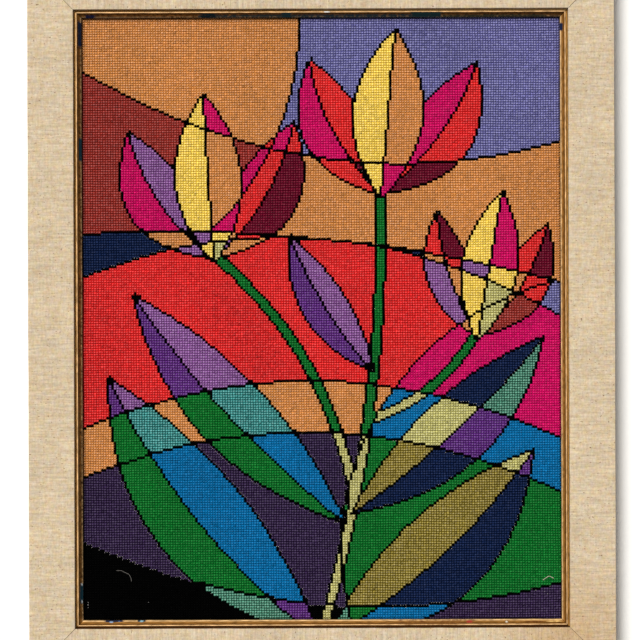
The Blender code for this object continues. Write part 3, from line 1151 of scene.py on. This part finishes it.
# Flecks of lint that cling to the wool, in millimetres from the middle of the panel; a fleck's length, the
# least and greatest share of it, its width and height; and how deep it sinks into the wool.
FLECKS = (
    (188, -231.5), (189, -224), (175.5, -226.5), (185.5, -228.5), (-196.5, -237), (-196.5, -239.5),
    (-196, -241.5), (155, 241), (181, 230), (188, 188), (171, 197), (-145, -236), (-152, 221), (-70, -205),
)
FLECK_LENGTH = 1.1 * MM
FLECK_SHARES = (0.6, 1.3)
FLECK_WIDTH = 0.7 * MM
FLECK_HEIGHT = 0.45 * MM
FLECK_SINKS = 0.1 * MM


def canvas_peeps(yarn, line, x, y):
    """Glimpses of the pale canvas between the stitches, each at a stitch's lower right hole."""
    random = np.random.default_rng(STITCH_SEED + 2)
    dark = np.isin(yarn, numbers(DARK_YARNS))
    meets = np.zeros(yarn.shape, bool)
    for columns, rows in ((-1, 0), (0, 1)):
        meets |= (shifted(yarn, columns, rows) != yarn) & shifted(dark, columns, rows)
    chance = np.where(meets & dark & ~line, PEEPS_BETWEEN_DARKS, np.where(line, PEEPS_AT_OUTLINES, 0))
    here = random.random(yarn.shape) < chance
    count = here.sum()
    places = np.stack([x[:-1, 1:][here], y[:-1, 1:][here], np.full(count, GROUND_TOP)], 1)
    return point_mesh(
        "canvas_peeps",
        places,
        reach=PEEP_LENGTH * random.uniform(*PEEP_SHARES, count),
        turn=random.uniform(0, math.pi, count),
    )


def lint_flecks(x, y):
    """Flecks of lint, each on the crown of the nearest stitch."""
    random = np.random.default_rng(STITCH_SEED + 3)
    middles = np.stack([(x[1:, 1:] + x[:-1, :-1]).ravel() / 2, (y[1:, 1:] + y[:-1, :-1]).ravel() / 2], 1)
    places = []
    for place in FLECKS:
        nearest = np.argmin(np.hypot(*(middles - np.array(place) * MM).T))
        places.append((*middles[nearest], CANVAS_HIGH.z - FLECK_SINKS))
    return point_mesh(
        "lint_flecks",
        places,
        reach=FLECK_LENGTH * random.uniform(*FLECK_SHARES, len(places)),
        turn=random.uniform(0, math.pi, len(places)),
    )


# Size of the blotches on a loose fibre, in millimetres each way.
FIBRE_MOTTLE = (1.1, 1.1, 1.1)


def plain_fibre(name, code):
    """Undyed cotton or hair: matt, a little uneven in colour."""
    made, tree, shader = new_material(name, {"Roughness": 0.7, "Specular IOR Level": 0.2})
    place = node(tree, "ShaderNodeTexCoord").outputs["Object"]
    mottle, value = uneven(tree, place, FIBRE_MOTTLE, detail=2.0, low=0.75, high=1.25, part=ALL_OF_NOISE)
    finish = {
        "Base Color": node(tree, "ShaderNodeHueSaturation", {"Color": srgb(code), "Value": value}),
        "Normal": node(tree, "ShaderNodeBump", {"Height": mottle, "Strength": 0.4, "Distance": 0.1 * MM}),
    }
    feed(tree, shader, finish)
    return made


def stray_bits(yarn, line, x, y, laying):
    """The glimpses of canvas, the lint and the strands that lie on the needlework."""
    made = []
    for points, width, height, fibre, code in (
        (canvas_peeps(yarn, line, x, y), PEEP_WIDTH, PEEP_HEIGHT, "bare_cotton_canvas", "C6C1B6"),
        (lint_flecks(x, y), FLECK_WIDTH, FLECK_HEIGHT, "grey_lint", "8F8D8A"),
    ):
        sizes = {"Width": width, "Height": height, "Unevenness": BITS_UNEVEN, "Seed": STITCH_SEED}
        made.append(grow(points, **laying, Yarn=plain_fibre(fibre, code), **sizes))
    tree = strand_tree()
    for number, (radius, code, route) in enumerate(STRANDS):
        places = [(across * MM, up * MM, CANVAS_HIGH.z + radius * MM / 2) for across, up in route]
        edges = [(at, at + 1) for at in range(len(route) - 1)]
        points = point_mesh(f"stray_strand_{number}", places, edges)
        fibre = plain_fibre(f"loose_fibre_{number}", code)
        made.append(grow(points, tree, Radius=radius * MM, Fibre=fibre))
    return made


# ---- Stage ----

# The floor: how far it reaches each way, and how far it lies under the back.
FLOOR_REACH = 4.0
FLOOR_DROP = 1.0 * MM

# Light from a window at the picture's upper left, its turn and its spread in degrees, and from the room.
WINDOW_POWER = 4.0
WINDOW_TURN = (-31, -27)
WINDOW_SPREAD = 30
WINDOW_COLOUR = (1.0, 0.985, 0.96)
ROOM_LIGHT = 0.32


def stage():
    """A pale floor, soft light from the picture's upper left, and the camera straight over the face."""
    mesh = bpy.data.meshes.new("floor")
    corners = ((-1, -1), (1, -1), (1, 1), (-1, 1))
    places = [(x * FLOOR_REACH, y * FLOOR_REACH, -FLOOR_DROP) for x, y in corners]
    mesh.from_pydata(places, [], [(0, 1, 2, 3)])
    paint, tree, shader = new_material("pale_floor", {"Roughness": 0.9, "Base Color": srgb("F2F1EE")})
    mesh.materials.append(paint)
    link(bpy.data.objects.new("floor", mesh))

    sun = bpy.data.lights.new("window", "SUN")
    sun.energy = WINDOW_POWER
    sun.angle = math.radians(WINDOW_SPREAD)
    sun.color = WINDOW_COLOUR
    window = link(bpy.data.objects.new("window", sun))
    window.rotation_euler = (*map(math.radians, WINDOW_TURN), 0)

    world = bpy.data.worlds.new("room")
    bpy.context.scene.world = world
    world.use_nodes = True
    room = world.node_tree.nodes["Background"]
    feed(world.node_tree, room, {"Color": srgb("FFFFFF"), "Strength": ROOM_LIGHT})

    lens = bpy.data.cameras.new("camera")
    lens.sensor_width = SENSOR
    lens.lens = SENSOR * CAMERA_RISE / (PHOTO_PIXELS * PHOTO_SCALE)
    camera = link(bpy.data.objects.new("camera", lens))
    middle = PHOTO_PIXELS / 2
    camera.location = (
        (middle - PHOTO_MIDDLE[0]) * PHOTO_SCALE,
        (PHOTO_MIDDLE[1] - middle) * PHOTO_SCALE,
        CANVAS_HIGH.z + CAMERA_RISE,
    )
    camera.rotation_euler.z = math.radians(-PHOTO_TURN)
    bpy.context.scene.camera = camera
    bpy.context.scene.view_settings.view_transform = "Standard"


stage()
yarn_chart, outline_chart = chart()
holes_x, holes_y = hole_places()
seed_grain = grain()
laying_tools = {"tree": stitch_tree(), "Grain": seed_grain}
laid_stitches = stitches(yarn_chart, holes_x, holes_y, laying_tools)
laid_stitches += stray_bits(yarn_chart, outline_chart, holes_x, holes_y, laying_tools)
bpy.data.objects.remove(seed_grain)
ground_piece = canvas_ground(yarn_chart, holes_x, holes_y)
fillets()
linens()
rails()
